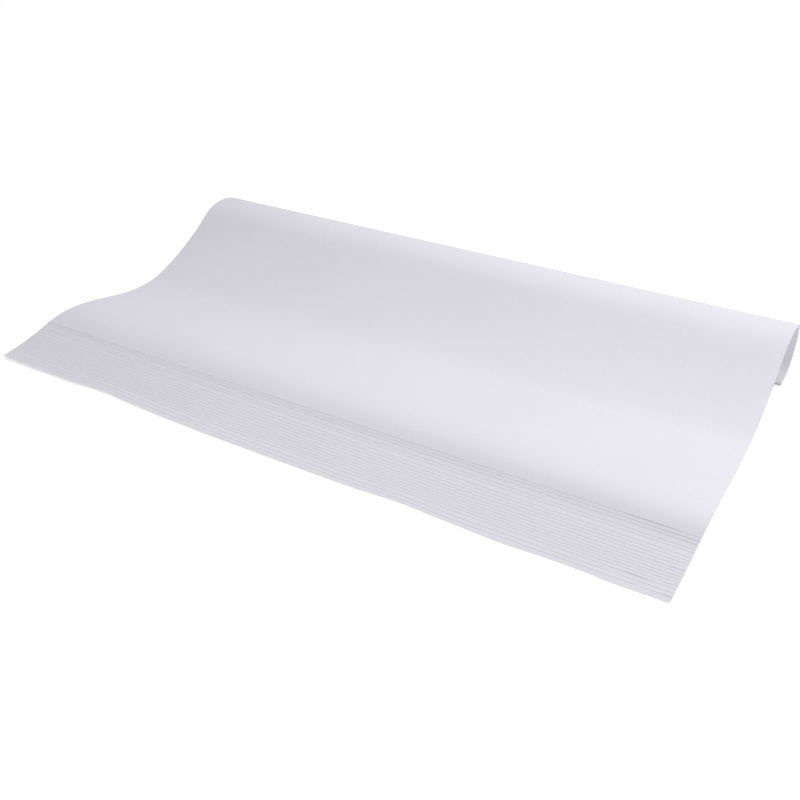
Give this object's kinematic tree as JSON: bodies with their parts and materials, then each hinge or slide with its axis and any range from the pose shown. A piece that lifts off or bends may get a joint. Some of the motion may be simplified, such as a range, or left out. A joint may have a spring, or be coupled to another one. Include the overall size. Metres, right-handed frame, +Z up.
{
  "type": "pad of offset paper",
  "caption": "Stack of large blank white paper sheets that was rolled up before: fanned front edges, a low hump, and a back that climbs to a crest and curls over to the floor.",
  "frame": {"origin": "centre of the bounding box's bottom, on the surface that the sheets lie on", "axes": "+X along the crest of the curl, +Y from the fanned front edges to the curl, +Z up"},
  "size_m": [1, 0.5816, 0.0871],
  "materials": {
    "offset_paper": "uncoated white offset paper with a faint blue-violet tint, matt, with a fine fibre tooth"
  },
  "bodies": {
    "root": {"sheets": "offset_paper"}
  },
  "joints": []
}
